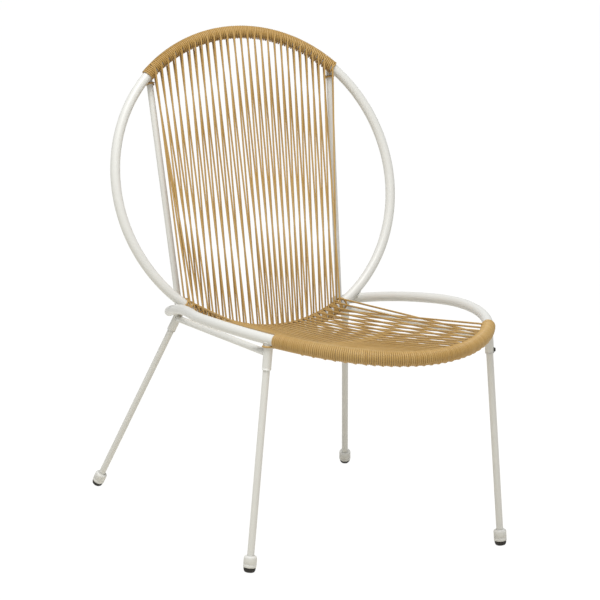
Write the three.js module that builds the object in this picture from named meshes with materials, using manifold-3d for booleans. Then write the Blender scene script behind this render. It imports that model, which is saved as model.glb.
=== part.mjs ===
// Acapulco chair: a round back hoop and a horseshoe seat ring of steel tube on four splayed legs,
// strung with cord. Millimetres, +Z up, the sitter faces -Y, floor at z = 0.

import * as THREE from 'three';
import { mergeVertices } from 'three/addons/utils/BufferGeometryUtils.js';
import Module from 'manifold-3d';

const wasm = await Module();
wasm.setup();

// Tubes, rods and the clearance between pieces that touch
const tubeRadius = 9;
const rodRadius = 6;
const socketRadius = 7.7;
const clearance = 0.3;
const tubeSides = 12;
const roundSides = 16;
const boreSides = 8;
const hexagonSides = 6;
const roundingSteps = 3;
const hoopSegments = 64;
const ringSegments = 72;

// Back hoop: an ellipse that leans back
const hoopHalfWidth = 275;
const hoopHalfHeight = 284.5;
const hoopBottomY = 127.42;
const hoopBottomHeight = 323.93;
const hoopTilt = THREE.MathUtils.degToRad(17);
const hoopCentreY = hoopBottomY + hoopHalfHeight * Math.sin(hoopTilt);
const hoopCentreHeight = hoopBottomHeight + hoopHalfHeight * Math.cos(hoopTilt);

// Seat ring: half ellipses in plan, then straight rails to free ends, arched in side view
const ringHalfWidth = 244.8;
const ringWidestY = -147.9;
const ringNoseReach = 349.2;
const ringRearReach = 279;
const railStraightY = -78.3;
const railEndY = 223;
const ringPeakY = -175.7;
const ringPeakHeight = 400.4;
const ringArchReach = 321.4;
const ringArchDrop = 28.5;

// Back uprights: tops behind the hoop's shoulders, feet beside the rail ends
const uprightTopX = 183.3;
const uprightOverrun = 8;
const uprightFootX = 161;
const uprightFootY = 189.3;
const uprightFootHeight = 362;

// Legs, given by where their lines start at the ring and where they meet the floor
const frontSocketY = -344;
const frontFootX = 236;
const frontFootY = -336.6;
const rearSocketX = 165;
const rearSocketY = 169;
const rearSocketHeight = 369;
const rearFootX = 262.8;
const rearFootY = 385.6;
const socketLength = 51;
const legInsertion = 30;

// Side stretchers: depth of their ends below the two leg starts
const stretcherRearDrop = 19;
const stretcherFrontDrop = 23;

// Feet
const collarRadius = 11.2;
const collarLength = 19.5;
const collarFloor = 3;
const collarRounding = 3;
const tipRadius = 10.2;
const tipHeight = 8.5;
const tipRounding = 5;
const tipFlatDepth = 0.6;

// Leg bolts
const boltHeadRadius = 3.4;
const boltHeadHeight = 2.6;
const boltShankRadius = 2;
const boltDrop = 45;
const boltShankDepth = 9;

// Cord: radius, turns of each winding and the half widths that the windings span
const cordRadius = 1.7;
const cordSides = 5;
const windingTurns = 24;
const backTopHalfWidth = 168;
const lowerHalfWidth = 150;
const seatFrontHalfWidth = 182;
const seatPhaseShare = 0.15;

// Cord wraps: closed sleeves with a rib between each two strands
const wrapSides = 10;
const wrapBoreGap = 0.45;
const wrapWall = 1.2;
const topRibHeight = 2;
const frontRibHeight = 1;
const wrapMargin = 4.5;
const wrapSocketGap = 1.5;
const tieCordRadius = 1.4;
const tieDrop = 6;
const socketTieDrop = 14.8;

const UP = new THREE.Vector3(0, 0, 1);
const hoopTopShare = 0.25;
const hoopBottomShare = 0.75;
const sides = { left: -1, right: 1 };

// The hoop's centreline, from its left side over the top and round below.
class HoopCurve extends THREE.Curve {
  getPoint(t, target = new THREE.Vector3()) {
    const angle = 2 * Math.PI * (t - hoopTopShare);
    const rise = hoopHalfHeight * Math.cos(angle);
    return target.set(
      hoopHalfWidth * Math.sin(angle),
      hoopCentreY + rise * Math.sin(hoopTilt),
      hoopCentreHeight + rise * Math.cos(hoopTilt),
    );
  }
}

// The ring's arch in side view falls by ringArchDrop at ringArchReach from its peak.
function ringHeight(y) {
  const share = (y - ringPeakY) / ringArchReach;
  return ringPeakHeight - ringArchDrop * share * share;
}

// Half width of the seat ring behind its widest place.
function railHalfWidth(y) {
  const ellipse = (place) => ringHalfWidth * Math.sqrt(1 - ((place - ringWidestY) / ringRearReach) ** 2);
  if (y < railStraightY) return ellipse(y);
  const start = ellipse(railStraightY);
  const reach = railStraightY - ringWidestY;
  const slope = -(ringHalfWidth ** 2) * reach / (ringRearReach ** 2 * start);
  return start + slope * (y - railStraightY);
}

// The seat ring's centreline, from the left rail's free end round the nose to the right one.
class RingCurve extends THREE.Curve {
  getPoint(t, target = new THREE.Vector3()) {
    const frontShare = 0.5;
    const along = Math.abs(2 * t - 1);
    const side = t < 0.5 ? sides.left : sides.right;
    let x;
    let y;
    if (along < frontShare) {
      const angle = (along / frontShare) * Math.PI / 2;
      x = ringHalfWidth * Math.sin(angle);
      y = ringWidestY - ringNoseReach * Math.cos(angle);
    } else {
      y = ringWidestY + (railEndY - ringWidestY) * (along - frontShare) / (1 - frontShare);
      x = railHalfWidth(y);
    }
    return target.set(side * x, y, ringHeight(y));
  }
}

// How far along the hoop, from its top or bottom, its half width reaches x.
function hoopReach(x) {
  return Math.asin(x / hoopHalfWidth) / (2 * Math.PI);
}

const hoopCurve = new HoopCurve();
const ringCurve = new RingCurve();
ringCurve.arcLengthDivisions = 8 * ringSegments;

const hoopForward = new THREE.Vector3(0, -Math.cos(hoopTilt), Math.sin(hoopTilt));

// A guide gives a tube's centre, and two unit directions square to it, at a place along it.
// Angles round the tube are counted from the first direction towards the second.
const hoopGuide = {
  at(t) {
    const centre = hoopCurve.getPoint(t);
    const out = new THREE.Vector3().crossVectors(hoopForward, hoopCurve.getTangent(t)).normalize();
    if (out.dot(centre.clone().setY(0).setZ(centre.z - hoopCentreHeight)) < 0) out.negate();
    return { centre, first: hoopForward, second: out };
  },
  chord(t) {
    return onChord((share) => hoopCurve.getPoint(share), hoopSegments, t);
  },
};

const ringGuide = {
  at(u) {
    const centre = ringCurve.getPointAt(u);
    const along = ringCurve.getTangentAt(u);
    const first = UP.clone().addScaledVector(along, -UP.dot(along)).normalize();
    const second = new THREE.Vector3().crossVectors(first, along).normalize();
    if (second.dot(centre.clone().setY(centre.y - ringWidestY)) < 0) second.negate();
    return { centre, first, second };
  },
  chord(u) {
    return onChord((share) => ringCurve.getPointAt(share), ringSegments, u);
  },
};

// A point on the straight chord between a curve's two nearest stations.
function onChord(pointAt, segments, place) {
  const station = Math.floor(place * segments);
  const start = pointAt(station / segments);
  const end = pointAt((station + 1) / segments);
  return start.lerp(end, place * segments - station);
}

// The place along a guide, between two bounds, where a coordinate reaches a value. The coordinate
// is the centreline's, or that of a point offset from it.
function placeWhere(guide, coordinate, value, low, high, offset = () => 0) {
  const excess = (place) => {
    const at = guide.at(place);
    return at.centre[coordinate] + offset(at) - value;
  };
  const sign = Math.sign(excess(high) - excess(low));
  let lower = low;
  let upper = high;
  for (let step = 0; step < 40; step += 1) {
    const middle = (lower + upper) / 2;
    if (excess(middle) * sign < 0) lower = middle;
    else upper = middle;
  }
  return (lower + upper) / 2;
}

// A closed body from rings of points: each ring joins the next, and the ends close or meet.
function bodyFromRings(rings, loops) {
  const count = rings[0].length;
  const positions = rings.flat().flatMap((point) => point.toArray());
  const indices = [];
  const links = loops ? rings.length : rings.length - 1;
  for (let ring = 0; ring < links; ring += 1) {
    const here = ring * count;
    const next = ((ring + 1) % rings.length) * count;
    for (let side = 0; side < count; side += 1) {
      const turn = (side + 1) % count;
      indices.push(here + side, here + turn, next + turn);
      indices.push(here + side, next + turn, next + side);
    }
  }
  if (!loops) {
    const last = (rings.length - 1) * count;
    for (let side = 1; side < count - 1; side += 1) {
      indices.push(0, side + 1, side);
      indices.push(last, last + side, last + side + 1);
    }
  }
  const geometry = new THREE.BufferGeometry();
  geometry.setAttribute('position', new THREE.Float32BufferAttribute(positions, 3));
  geometry.setIndex(indices);
  return faceOutwards(geometry);
}

// Turns a closed body's faces over if they point inwards.
function faceOutwards(geometry) {
  const position = geometry.getAttribute('position');
  const index = geometry.getIndex();
  const corner = [new THREE.Vector3(), new THREE.Vector3(), new THREE.Vector3()];
  let volume = 0;
  for (let face = 0; face < index.count; face += 3) {
    corner.forEach((point, place) => point.fromBufferAttribute(position, index.getX(face + place)));
    volume += corner[0].dot(corner[1].clone().cross(corner[2]));
  }
  if (volume < 0) {
    for (let face = 0; face < index.count; face += 3) {
      const swap = index.getX(face + 1);
      index.setX(face + 1, index.getX(face + 2));
      index.setX(face + 2, swap);
    }
  }
  geometry.computeVertexNormals();
  return geometry;
}

// A cord of even thickness along straight runs, each joint cut on its mitre.
function cordAlong(path, radius, facets) {
  const run = (place) => path[place + 1].clone().sub(path[place]).normalize();
  const first = run(0);
  const across = new THREE.Vector3().crossVectors(first, UP).normalize();
  if (across.lengthSq() < 0.5) across.set(1, 0, 0);
  const over = new THREE.Vector3().crossVectors(first, across);
  const rings = [];
  for (let place = 0; place < path.length; place += 1) {
    const into = run(Math.max(place - 1, 0));
    const outOf = run(Math.min(place, path.length - 2));
    const mitre = into.clone().add(outOf).normalize();
    rings.push(Array.from({ length: facets }, (_, facet) => {
      const angle = 2 * Math.PI * facet / facets;
      const point = place === 0
        ? path[0].clone().addScaledVector(across, radius * Math.cos(angle))
          .addScaledVector(over, radius * Math.sin(angle))
        : rings[place - 1][facet].clone();
      const reach = path[place].clone().sub(point).dot(mitre) / into.dot(mitre);
      return point.addScaledVector(into, reach);
    }));
  }
  return bodyFromRings(rings, false);
}

// A tube of flat facets along a curve.
function tubeAlong(curve, radius, segments) {
  const outline = Array.from({ length: tubeSides }, (_, side) => {
    const angle = 2 * Math.PI * side / tubeSides;
    return new THREE.Vector2(radius * Math.cos(angle), radius * Math.sin(angle));
  });
  return new THREE.ExtrudeGeometry(new THREE.Shape(outline), { steps: segments, extrudePath: curve });
}

// The hoop as a torus whose round centreline is drawn out to the ellipse.
function hoopGeometry(radius) {
  const torus = new THREE.TorusGeometry(hoopHalfHeight, radius, tubeSides, hoopSegments);
  const position = torus.getAttribute('position');
  for (let place = 0; place < position.count; place += 1) {
    const angle = Math.atan2(position.getY(place), position.getX(place));
    position.setX(place, position.getX(place) + (hoopHalfWidth - hoopHalfHeight) * Math.cos(angle));
  }
  return torus.applyMatrix4(new THREE.Matrix4().makeRotationX(Math.PI / 2 - hoopTilt))
    .applyMatrix4(new THREE.Matrix4().makeTranslation(0, hoopCentreY, hoopCentreHeight));
}

function toSolid(geometry) {
  const bare = geometry.clone();
  bare.deleteAttribute('normal');
  bare.deleteAttribute('uv');
  const merged = mergeVertices(bare);
  return new wasm.Manifold(new wasm.Mesh({
    numProp: 3,
    vertProperties: new Float32Array(merged.getAttribute('position').array),
    triVerts: new Uint32Array(merged.getIndex().array),
  }));
}

function toGeometry(solid) {
  const mesh = solid.getMesh();
  const geometry = new THREE.BufferGeometry();
  geometry.setAttribute('position', new THREE.BufferAttribute(new Float32Array(mesh.vertProperties), 3));
  geometry.setIndex(new THREE.BufferAttribute(new Uint32Array(mesh.triVerts), 1));
  geometry.computeVertexNormals();
  return geometry;
}

function rod(radius, length, facets) {
  return new THREE.CylinderGeometry(radius, radius, length, facets).rotateX(Math.PI / 2);
}

// Places a piece drawn about the origin along +Z so that it runs between two points.
function between(geometry, start, end) {
  const turn = new THREE.Quaternion().setFromUnitVectors(UP, end.clone().sub(start).normalize());
  const middle = start.clone().lerp(end, 0.5);
  const matrix = new THREE.Matrix4().compose(middle, turn, new THREE.Vector3(1, 1, 1));
  return geometry.applyMatrix4(matrix);
}

const whiteCoat = new THREE.MeshStandardMaterial({ color: '#e8e8e6', roughness: 0.45, metalness: 0 });
const blackRubber = new THREE.MeshStandardMaterial({ color: '#1e1c18', roughness: 0.8, metalness: 0 });
const darkSteel = new THREE.MeshStandardMaterial({ color: '#3a3936', roughness: 0.5, metalness: 0.7 });
const tanCord = new THREE.MeshStandardMaterial({ color: '#b8975f', roughness: 0.6, metalness: 0 });

const chair = new THREE.Group();

function addPiece(name, geometry, material = whiteCoat, matrix = new THREE.Matrix4()) {
  const mesh = new THREE.Mesh(geometry, material);
  mesh.name = name;
  mesh.applyMatrix4(matrix);
  chair.add(mesh);
}

// Seat ring: the bent tube with its two free ends closed to domes.
function seatRingSolid(radius) {
  let solid = toSolid(tubeAlong(ringCurve, radius, ringSegments));
  for (const place of [0, 1]) {
    const dome = new THREE.SphereGeometry(radius, tubeSides, tubeSides / 2);
    const end = ringCurve.getPointAt(place);
    solid = solid.add(toSolid(dome.translate(end.x, end.y, end.z)));
  }
  return solid;
}

// Uprights: from just above the hoop's back to beside the rail ends.
function uprightEnds(side) {
  const stand = tubeRadius + rodRadius + clearance;
  const top = hoopCurve.getPoint(hoopTopShare + hoopReach(uprightTopX))
    .addScaledVector(hoopForward, -stand);
  const foot = new THREE.Vector3(uprightFootX, uprightFootY, uprightFootHeight);
  const along = top.clone().sub(foot).normalize();
  top.addScaledVector(along, uprightOverrun);
  for (const end of [top, foot]) end.x *= side;
  return { top, foot };
}

// A leg's own frame: origin where its line leaves the ring, -Z down the leg, bolt along +X.
function legFrame(start, floor, boltDirection) {
  const upLeg = start.clone().sub(floor).normalize();
  const bolt = boltDirection.clone().addScaledVector(upLeg, -upLeg.dot(boltDirection)).normalize();
  const third = new THREE.Vector3().crossVectors(upLeg, bolt);
  const matrix = new THREE.Matrix4().makeBasis(bolt, third, upLeg).setPosition(start);
  return { matrix, length: start.distanceTo(floor), lean: upLeg.angleTo(UP) };
}

// How far above the floor point, along the leg, the tip's end face lies.
function tipLift(lean) {
  const edge = tipRadius - tipRounding;
  const drop = edge * Math.sin(lean) + tipRounding * (1 - Math.cos(lean));
  return (drop - tipFlatDepth) / Math.cos(lean);
}

// A quarter round from one profile point to the next, about the corner's centre.
function quarter(centreR, centreZ, radius, startAngle, steps) {
  return Array.from({ length: steps + 1 }, (_, step) => {
    const angle = startAngle + (Math.PI / 2) * step / steps;
    return new THREE.Vector2(centreR + radius * Math.cos(angle), centreZ + radius * Math.sin(angle));
  });
}

function lathe(profile) {
  return new THREE.LatheGeometry(profile, roundSides).rotateX(Math.PI / 2);
}

// Collar: a cup over the leg's end with rounded shoulders.
function collarGeometry() {
  const bore = (rodRadius + clearance) / Math.cos(Math.PI / roundSides);
  const inner = collarRadius - collarRounding;
  return lathe([
    new THREE.Vector2(0, 0),
    new THREE.Vector2(collarRadius, 0),
    ...quarter(inner, collarLength - collarRounding, collarRounding, 0, roundingSteps),
    new THREE.Vector2(bore, collarLength),
    new THREE.Vector2(bore, collarFloor),
    new THREE.Vector2(0, collarFloor),
  ]);
}

function tipGeometry() {
  return lathe([
    new THREE.Vector2(0, 0),
    ...quarter(tipRadius - tipRounding, tipRounding, tipRounding, -Math.PI / 2, roundingSteps),
    new THREE.Vector2(tipRadius, tipHeight),
    new THREE.Vector2(0, tipHeight),
  ]);
}

// Bolt: hexagon head on the socket's side, shank through its wall into the leg.
function boltGeometry() {
  const head = new THREE.CylinderGeometry(boltHeadRadius, boltHeadRadius, boltHeadHeight, hexagonSides);
  const shankLength = socketRadius + clearance + boltHeadHeight / 2;
  const shank = new THREE.CylinderGeometry(boltShankRadius, boltShankRadius, boltShankDepth, boreSides);
  head.rotateZ(Math.PI / 2).translate(shankLength, 0, -boltDrop);
  shank.rotateZ(Math.PI / 2).translate(socketRadius + clearance - boltShankDepth / 2, 0, -boltDrop);
  return toGeometry(toSolid(head).add(toSolid(shank)));
}

function boltHole() {
  const length = boltShankDepth + 2 * clearance;
  const radius = boltShankRadius + clearance;
  const hole = new THREE.CylinderGeometry(radius, radius, length + socketRadius, boreSides);
  return toSolid(hole.rotateZ(Math.PI / 2)
    .translate(socketRadius + (socketRadius - length) / 2, 0, -boltDrop));
}

function moved(geometry, matrix) {
  return geometry.clone().applyMatrix4(matrix);
}

// One leg with its socket, bolt, collar and rubber tip.
function addLeg(label, start, floor, boltDirection, ringCut) {
  const { matrix, length, lean } = legFrame(start, floor, boltDirection);
  const tipEnd = length - tipLift(lean);
  const collarEnd = tipEnd - tipHeight - clearance;
  const legTop = socketLength - legInsertion;
  const legEnd = collarEnd - collarFloor - clearance;
  const boreRadius = (rodRadius + clearance) / Math.cos(Math.PI / tubeSides);

  const hole = boltHole();
  const leg = rod(rodRadius, legEnd - legTop, tubeSides).translate(0, 0, -(legTop + legEnd) / 2);
  const legSolid = toSolid(leg).subtract(hole);
  addPiece(`leg_${label}`, toGeometry(legSolid), whiteCoat, matrix);

  const socketTop = tubeRadius;
  const shell = rod(socketRadius, socketLength + socketTop, tubeSides)
    .translate(0, 0, (socketTop - socketLength) / 2);
  const bore = rod(boreRadius, 2 * socketLength + 2 * socketTop, tubeSides);
  const socketSolid = toSolid(shell).subtract(toSolid(bore)).subtract(hole);
  const coped = toSolid(moved(toGeometry(socketSolid), matrix)).subtract(ringCut);
  addPiece(`leg_socket_${label}`, toGeometry(largestPart(coped)));

  addPiece(`leg_bolt_${label}`, boltGeometry(), darkSteel, matrix);

  const collar = collarGeometry().translate(0, 0, -collarEnd);
  addPiece(`foot_collar_${label}`, collar, whiteCoat, matrix);

  const tip = moved(tipGeometry().translate(0, 0, -tipEnd), matrix);
  const floorCut = new THREE.BoxGeometry(4 * tipRadius, 4 * tipRadius, 4 * tipRadius)
    .translate(floor.x, floor.y, -2 * tipRadius);
  addPiece(`foot_tip_${label}`, toGeometry(toSolid(tip).subtract(toSolid(floorCut))), blackRubber);
}

// Of a cut piece that falls apart, the part that the joint keeps.
function largestPart(solid) {
  return solid.decompose().reduce((kept, part) => (part.volume() > kept.volume() ? part : kept));
}

// A point at the given angle and radius about a guide's tube. It lies square to the place where the
// centreline reaches x or, on an upright bar, at x itself.
function onRound(windingBar, x, angle, radius) {
  const sideways = (at) => radius * (Math.cos(angle) * at.first.x + Math.sin(angle) * at.second.x);
  const offset = windingBar.upright ? sideways : undefined;
  const place = placeWhere(windingBar.guide, 'x', x, windingBar.low, windingBar.high, offset);
  const { centre, first, second } = windingBar.guide.at(place);
  return centre.addScaledVector(first, radius * Math.cos(angle))
    .addScaledVector(second, radius * Math.sin(angle));
}

// Places round a tube are counted in facets, so that the strands lie flat on the wraps.
const facetAngle = 2 * Math.PI / wrapSides;
const wrapBore = (tubeRadius + wrapBoreGap) / Math.cos(Math.PI / wrapSides);
const wrapRadius = wrapBore + wrapWall;
const strandRadius = wrapRadius + (cordRadius + clearance) / Math.cos(Math.PI / wrapSides);

// Half a turn round a tube while the winding moves on by half a pitch.
function halfTurn(windingBar, turn, firstFacet, lastFacet) {
  const steps = Math.abs(lastFacet - firstFacet);
  return Array.from({ length: steps + 1 }, (_, step) => {
    const progress = turn + 0.5 * step / steps;
    const angle = facetAngle * (firstFacet + (lastFacet - firstFacet) * step / steps);
    return onRound(windingBar, windingBar.start + windingBar.pitch * progress, angle, strandRadius);
  });
}

// A bar that a winding goes round, between two places on a guide.
function bar(guide, halfWidth, low, high, upright = false, phase = 0) {
  const pitch = 2 * halfWidth / (windingTurns - 0.5);
  return { guide, pitch, start: -halfWidth + pitch * phase, low, high, upright };
}

const hoopTop = bar(hoopGuide, backTopHalfWidth, 0, 0.5);
const hoopBottom = bar(hoopGuide, lowerHalfWidth, 1, 0.5, true);
const hoopBottomForSeat = bar(hoopGuide, lowerHalfWidth, 1, 0.5, true, seatPhaseShare);
const ringFront = bar(ringGuide, seatFrontHalfWidth, 0.25, 0.75);

// Back strands: down from the hoop's front to behind its bottom, under and up again behind its top.
function backPath() {
  const path = [];
  for (let turn = 0; turn < windingTurns; turn += 1) {
    if (turn > 0) path.push(...halfTurn(hoopTop, turn - 0.5, wrapSides / 2, 0));
    else path.push(halfTurn(hoopTop, 0, 0, 1)[0]);
    path.push(...halfTurn(hoopBottom, turn, wrapSides / 2, 0));
  }
  path.push(halfTurn(hoopTop, windingTurns - 0.5, wrapSides / 2, 0)[0]);
  return path;
}

// Seat strands: back from under the nose to over the hoop, round behind it and forward over the nose.
function seatPath() {
  const overFacet = -wrapSides / 5;
  const underFacet = overFacet - wrapSides / 2;
  const path = [halfTurn(ringFront, -0.5, 0, wrapSides / 2).pop()];
  for (let turn = 0; turn < windingTurns; turn += 1) {
    path.push(...halfTurn(hoopBottomForSeat, turn, overFacet, underFacet));
    if (turn < windingTurns - 1) path.push(...halfTurn(ringFront, turn + 0.5, 0, wrapSides / 2));
  }
  path.push(halfTurn(ringFront, windingTurns - 0.5, 0, wrapSides / 2)[0]);
  return path;
}

// The least gap between two cords, or one cord and itself, measured between their straight runs.
function leastGap(path, other = path) {
  const runs = (points) => points.slice(1).map((end, place) => new THREE.Line3(points[place], end));
  const first = runs(path);
  const second = other === path ? first : runs(other);
  let least = Infinity;
  for (let here = 0; here < first.length; here += 1) {
    const start = other === path ? here + 2 : 0;
    for (let there = start; there < second.length; there += 1) {
      least = Math.min(least, first[here].distanceSqToLine3(second[there]));
    }
  }
  return Math.sqrt(least) - 2 * cordRadius;
}

// A sleeve of wrapped cord between two places on a bar. Ribs swell between the strands and follow
// their half turns, and the bore clears the tube's facets. The strand's progress in turns, at the
// first direction and opposite it, says how its half turn drifts along the bar.
function wrapGeometry(windingBar, segments, low, high, ribHeight, drift) {
  const { guide } = windingBar;
  const facets = Array.from({ length: wrapSides }, (_, facet) => facetAngle * facet);
  const squareRing = (centre, place, radius) => facets.map((angle) => {
    const { first, second } = guide.at(place);
    return centre.clone().addScaledVector(first, radius * Math.cos(angle))
      .addScaledVector(second, radius * Math.sin(angle));
  });
  const driftingRing = (turn, radius) => facets.map((angle) => {
    const away = Math.min(angle, 2 * Math.PI - angle) / Math.PI;
    const progress = turn + drift.near + (drift.far - drift.near) * away;
    return onRound(windingBar, windingBar.start + windingBar.pitch * progress, angle, radius);
  });
  const outer = [squareRing(guide.at(low).centre, low, wrapRadius)];
  for (let turn = 0; ribHeight > 0 && turn < windingTurns - 1; turn += 1) {
    outer.push(driftingRing(turn, wrapRadius));
    if (turn < windingTurns - 2) outer.push(driftingRing(turn + 0.5, wrapRadius + ribHeight));
  }
  const stations = [low];
  for (let station = Math.floor(low * segments) + 1; station < high * segments; station += 1) {
    stations.push(station / segments);
  }
  stations.push(high);
  if (ribHeight === 0) {
    outer.push(...stations.slice(1, -1).map((place) => squareRing(guide.at(place).centre, place, wrapRadius)));
  }
  outer.push(squareRing(guide.at(high).centre, high, wrapRadius));
  const bore = stations.map((place) => squareRing(guide.chord(place), place, wrapBore));
  return bodyFromRings([...outer, ...bore.reverse()], true);
}

function addFrame() {
  addPiece('back_hoop', hoopGeometry(tubeRadius));
  addPiece('seat_ring', toGeometry(seatRingSolid(tubeRadius)));
  for (const [label, side] of Object.entries(sides)) {
    const { top, foot } = uprightEnds(side);
    addPiece(`back_upright_${label}`, between(rod(rodRadius, top.distanceTo(foot), tubeSides), foot, top));
  }
}

// Where a leg's line starts at the ring and where it meets the floor.
function frontLegEnds(side) {
  const start = ringGuide.at(placeWhere(ringGuide, 'y', frontSocketY, 0.5, 1)).centre;
  start.x *= side;
  return { start, floor: new THREE.Vector3(side * frontFootX, frontFootY, 0) };
}

function rearLegEnds(side) {
  const start = new THREE.Vector3(side * rearSocketX, rearSocketY, rearSocketHeight);
  return { start, floor: new THREE.Vector3(side * rearFootX, rearFootY, 0) };
}

function addLegsAndStretchers() {
  const ringCut = seatRingSolid(tubeRadius + clearance);
  const socketRoom = socketRadius + clearance;
  const boltDirections = {
    front: { left: new THREE.Vector3(1, 2, 0), right: new THREE.Vector3(2, -1, 0) },
    rear: { left: new THREE.Vector3(1, 2, 0), right: new THREE.Vector3(1, 2, 0) },
  };
  for (const [label, side] of Object.entries(sides)) {
    const { start: front, floor: frontFloor } = frontLegEnds(side);
    const { start: rear, floor: rearFloor } = rearLegEnds(side);
    addLeg(`front_${label}`, front, frontFloor, boltDirections.front[label], ringCut);
    addLeg(`rear_${label}`, rear, rearFloor, boltDirections.rear[label], ringCut);

    const below = (start, floor, drop) => start.clone().lerp(floor, drop / (start.z - floor.z));
    const frontEnd = below(front, frontFloor, stretcherFrontDrop);
    const rearEnd = below(rear, rearFloor, stretcherRearDrop);
    const straight = rod(rodRadius, frontEnd.distanceTo(rearEnd), tubeSides);
    const stretcher = toSolid(between(straight, rearEnd, frontEnd));
    const room = (start, floor) => toSolid(between(
      rod(socketRoom, start.distanceTo(floor), tubeSides),
      start,
      floor,
    ));
    const coped = stretcher.subtract(room(front, frontFloor)).subtract(room(rear, rearFloor));
    addPiece(`side_stretcher_${label}`, toGeometry(largestPart(coped)));
  }
}

function addWraps() {
  const topEnd = hoopReach(backTopHalfWidth + wrapMargin);
  const topSpan = [hoopTopShare - topEnd, hoopTopShare + topEnd];
  const topWrap = wrapGeometry(hoopTop, hoopSegments, ...topSpan, topRibHeight, { near: 1, far: 0.5 });
  addPiece('top_arc_wrap', topWrap, tanCord);

  const bottomEnd = hoopReach(lowerHalfWidth + wrapMargin);
  const bottomSpan = [hoopBottomShare - bottomEnd, hoopBottomShare + bottomEnd];
  const bottomWrap = wrapGeometry(hoopBottom, hoopSegments, ...bottomSpan, 0);
  addPiece('bottom_arc_wrap', bottomWrap, tanCord);

  const socketPlace = placeWhere(ringGuide, 'y', frontSocketY, 0.5, 1);
  const frontEnd = socketPlace - (socketRadius + wrapSocketGap) / ringCurve.getLength();
  const frontSpan = [1 - frontEnd, frontEnd];
  const frontWrap = wrapGeometry(ringFront, ringSegments, ...frontSpan, frontRibHeight, { near: 0.5, far: 1 });
  addPiece('front_arc_wrap', frontWrap, tanCord);
}

function addStrands() {
  const back = backPath();
  const seat = seatPath();
  addPiece('back_cord', cordAlong(back, cordRadius, cordSides), tanCord);
  addPiece('seat_cord', cordAlong(seat, cordRadius, cordSides), tanCord);
  console.log('least gap of the back cord to itself:', leastGap(back).toFixed(2), 'mm');
  console.log('least gap of the seat cord to itself:', leastGap(seat).toFixed(2), 'mm');
  console.log('least gap between the two cords:', leastGap(back, seat).toFixed(2), 'mm');
}

// Cord ties: a round of thin cord about a rod or socket.
function addTie(name, centre, axis, innerRadius) {
  const reach = innerRadius + clearance + tieCordRadius;
  const tie = new THREE.TorusGeometry(reach, tieCordRadius, cordSides, tubeSides);
  const turn = new THREE.Quaternion().setFromUnitVectors(UP, axis);
  const matrix = new THREE.Matrix4().compose(centre, turn, new THREE.Vector3(1, 1, 1));
  addPiece(name, tie, tanCord, matrix);
}

function addTies() {
  for (const [label, side] of Object.entries(sides)) {
    const { top, foot } = uprightEnds(side);
    const axis = top.clone().sub(foot).normalize();
    const centre = top.clone().addScaledVector(axis, -(uprightOverrun + tubeRadius + tieDrop));
    addTie(`cord_tie_upper_${label}`, centre, axis, rodRadius);
  }
  const { start, floor } = frontLegEnds(sides.left);
  const upLeg = start.clone().sub(floor).normalize();
  const centre = start.clone().addScaledVector(upLeg, -socketTieDrop);
  addTie('cord_tie_front_left', centre, upLeg, socketRadius);
}

addFrame();
addLegsAndStretchers();
addWraps();
addStrands();
addTies();

// The origin is the middle of the chair's box, on the floor.
const box = new THREE.Box3().setFromObject(chair, true);
chair.position.y = -(box.min.y + box.max.y) / 2;
console.log('moved back by', chair.position.y.toFixed(2), 'mm');
console.log('size:', box.getSize(new THREE.Vector3()).toArray().map((edge) => edge.toFixed(1)).join(' x '));

export default chair;
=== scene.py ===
"""Acapulco chair: white powder-coated steel tube strung with tan PE cord.

Lengths are worked out in metres. The chair's own layout is measured from the middle of the seat
ring's straight rails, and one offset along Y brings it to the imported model's frame.
"""

import math

import bmesh
import bpy
import numpy as np
from bpy.props import FloatProperty, FloatVectorProperty, IntProperty, PointerProperty
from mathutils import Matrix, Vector


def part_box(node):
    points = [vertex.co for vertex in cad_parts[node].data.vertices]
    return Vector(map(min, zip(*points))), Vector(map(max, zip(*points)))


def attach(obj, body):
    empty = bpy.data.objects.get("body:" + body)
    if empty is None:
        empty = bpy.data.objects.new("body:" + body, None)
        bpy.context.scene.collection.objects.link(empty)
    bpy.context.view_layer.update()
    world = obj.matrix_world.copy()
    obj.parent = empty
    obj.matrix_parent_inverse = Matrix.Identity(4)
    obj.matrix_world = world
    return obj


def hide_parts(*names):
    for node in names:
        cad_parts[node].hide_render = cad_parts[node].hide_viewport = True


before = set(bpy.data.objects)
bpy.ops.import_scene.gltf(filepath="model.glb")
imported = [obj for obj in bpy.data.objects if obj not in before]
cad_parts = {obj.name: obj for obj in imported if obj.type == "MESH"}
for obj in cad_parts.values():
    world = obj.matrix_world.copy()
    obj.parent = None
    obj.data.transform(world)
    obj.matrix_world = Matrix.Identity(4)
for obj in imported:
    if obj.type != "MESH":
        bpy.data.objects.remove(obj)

bl_info = {
    "name": "Acapulco chair",
    "version": (1, 0, 0),
    "blender": (4, 5, 0),
    "location": "View3D > Sidebar > Chair",
    "description": "Builds a garden chair of steel tube strung with cord",
    "category": "Add Mesh",
}

BODY = "root"

# Back hoop: an ellipse that leans back
HOOP_HALF_WIDTH = 0.275
HOOP_HALF_HEIGHT = 0.2845
HOOP_CENTRE_Z = 0.596
HOOP_TILT = math.radians(17)
HOOP_LOW, HOOP_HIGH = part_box("back_hoop")
HOOP_CENTRE_Y = (HOOP_LOW.y + HOOP_HIGH.y) / 2
LAYOUT_Y = HOOP_CENTRE_Y - 0.2106

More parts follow.
